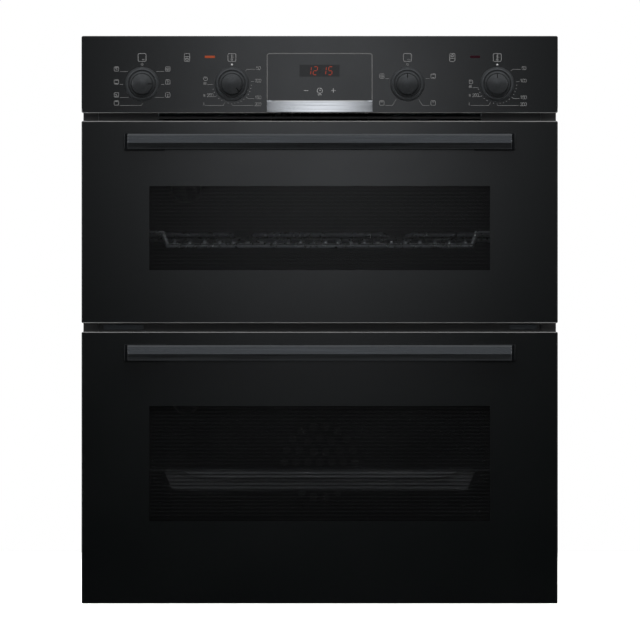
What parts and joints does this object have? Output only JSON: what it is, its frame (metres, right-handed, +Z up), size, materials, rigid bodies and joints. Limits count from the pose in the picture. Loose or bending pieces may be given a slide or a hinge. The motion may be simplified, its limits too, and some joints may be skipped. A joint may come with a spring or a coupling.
{
  "type": "built-under double wall oven",
  "caption": "Built-under double electric oven: small upper and large lower oven behind drop-down black glass doors with bar handles, knobs and a clock above.",
  "frame": {"origin": "middle of the niche floor, on the plane of the cabinet's front edges, level with the underside of the runners", "axes": "+X to the right seen from the front, +Y into the oven, +Z up"},
  "size_m": [0.594, 0.612, 0.717],
  "materials": {
    "galvanised_steel": "zinc-coated sheet, soft spangle",
    "black_frame_enamel": "satin black",
    "oven_enamel": "glossy grey-black speckled enamel",
    "mineral_wool": "loose fibres",
    "seal_rubber": "braided, matt",
    "black_glass": "printed black, polished",
    "clear_glass": "polished",
    "dark_steel": "dark brushed",
    "knob_steel": "dark satin",
    "silver_trim": "brushed along its length",
    "chrome_wire": "bright plated",
    "pan_enamel": "glossy enamel",
    "heater_sheath": "oxidised steel",
    "black_plastic": "fine texture",
    "circuit_board": "lacquered",
    "lamp_plastic": "translucent",
    "switch_plastic": "moulded",
    "motor_steel": "lacquered laminations",
    "fan_aluminium": "pressed",
    "lamp_glass": "moulded, ribbed",
    "steatite": "unglazed",
    "probe_copper": "drawn",
    "screw_steel": "zinc-plated"
  },
  "bodies": {
    "root": {"base_tray": "galvanised_steel", "left_side_panel": "galvanised_steel", "right_side_panel": "galvanised_steel", "back_panel": "galvanised_steel", "top_cover": "galvanised_steel", "front_frame": "black_frame_enamel", "air_outlet_trim": "black_frame_enamel", "hinge_covers": "dark_steel", "upper_cavity": "oven_enamel", "lower_cavity": "oven_enamel", "upper_insulation": "mineral_wool", "lower_insulation": "mineral_wool", "door_seals": "seal_rubber", "hinge_arms": "galvanised_steel", "control_fascia": "black_glass", "control_carrier": "galvanised_steel", "display_frame": "silver_trim", "display_module": "black_plastic", "trim_strip": "silver_trim", "control_board": "circuit_board", "indicator_lamps": "lamp_plastic", "knob_bezels": "knob_steel", "selector_switches": "switch_plastic", "thermostats": "switch_plastic", "temperature_probes": "probe_copper", "cooling_fan_housing": "galvanised_steel", "cooling_fan_motor": "motor_steel", "fan_baffle": "oven_enamel", "convection_motor": "motor_steel", "ring_element": "heater_sheath", "grill_elements": "heater_sheath", "bottom_elements": "heater_sheath", "oven_lamp_lenses": "lamp_glass", "oven_lamp_holders": "steatite", "upper_side_racks": "chrome_wire", "lower_side_racks": "chrome_wire", "terminal_block": "switch_plastic", "cable_gland": "black_plastic", "housing_screws": "screw_steel"},
    "upper_door": {"upper_outer_glass": "black_glass", "upper_inner_glass": "clear_glass", "upper_door_frame": "black_plastic", "upper_hinge_channels": "galvanised_steel", "upper_handle_bar": "dark_steel", "upper_handle_posts": "dark_steel"},
    "lower_door": {"lower_outer_glass": "black_glass", "lower_inner_glass": "clear_glass", "lower_door_frame": "black_plastic", "lower_hinge_channels": "galvanised_steel", "lower_handle_bar": "dark_steel", "lower_handle_posts": "dark_steel"},
    "lower_function_knob": {"lower_function_knob": "knob_steel"},
    "lower_temperature_knob": {"lower_temperature_knob": "knob_steel"},
    "upper_function_knob": {"upper_function_knob": "knob_steel"},
    "upper_temperature_knob": {"upper_temperature_knob": "knob_steel"},
    "cooling_fan": {"cooling_fan_impeller": "fan_aluminium"},
    "convection_fan": {"convection_fan_wheel": "fan_aluminium"},
    "shelf": {"wire_shelf": "chrome_wire"},
    "pan": {"universal_pan": "pan_enamel"}
  },
  "joints": [
    {"name": "upper_door_hinge", "type": "hinge", "parent": "root", "child": "upper_door", "pos_m": [0, -0.012, 0.369], "axis": [1, 0, 0], "range_deg": [0, 90], "stiffness_Nm_per_rad": 3.6, "springref_deg": -28.65},
    {"name": "lower_door_hinge", "type": "hinge", "parent": "root", "child": "lower_door", "pos_m": [0, -0.012, 0.019], "axis": [1, 0, 0], "range_deg": [0, 90], "stiffness_Nm_per_rad": 4.8, "springref_deg": -28.65},
    {"name": "lower_function_turn", "type": "hinge", "parent": "root", "child": "lower_function_knob", "pos_m": [-0.2215, -0.022, 0.657], "axis": [0, 1, 0], "continuous": true},
    {"name": "lower_temperature_turn", "type": "hinge", "parent": "root", "child": "lower_temperature_knob", "pos_m": [-0.1095, -0.022, 0.657], "axis": [0, 1, 0], "range_deg": [-135, 135]},
    {"name": "upper_function_turn", "type": "hinge", "parent": "root", "child": "upper_function_knob", "pos_m": [0.1095, -0.022, 0.657], "axis": [0, 1, 0], "continuous": true},
    {"name": "upper_temperature_turn", "type": "hinge", "parent": "root", "child": "upper_temperature_knob", "pos_m": [0.2215, -0.022, 0.657], "axis": [0, 1, 0], "range_deg": [0, 270]},
    {"name": "cooling_fan_spin", "type": "hinge", "parent": "root", "child": "cooling_fan", "pos_m": [0, 0.33, 0.61], "axis": [0, 0, 1], "continuous": true},
    {"name": "convection_fan_spin", "type": "hinge", "parent": "root", "child": "convection_fan", "pos_m": [0, 0.39, 0.1825], "axis": [0, 1, 0], "continuous": true},
    {"name": "shelf_slide", "type": "slide", "parent": "root", "child": "shelf", "axis": [0, -1, 0], "range_m": [0, 0.018]},
    {"name": "pan_slide", "type": "slide", "parent": "root", "child": "pan", "axis": [0, -1, 0], "range_m": [0, 0.018]}
  ]
}
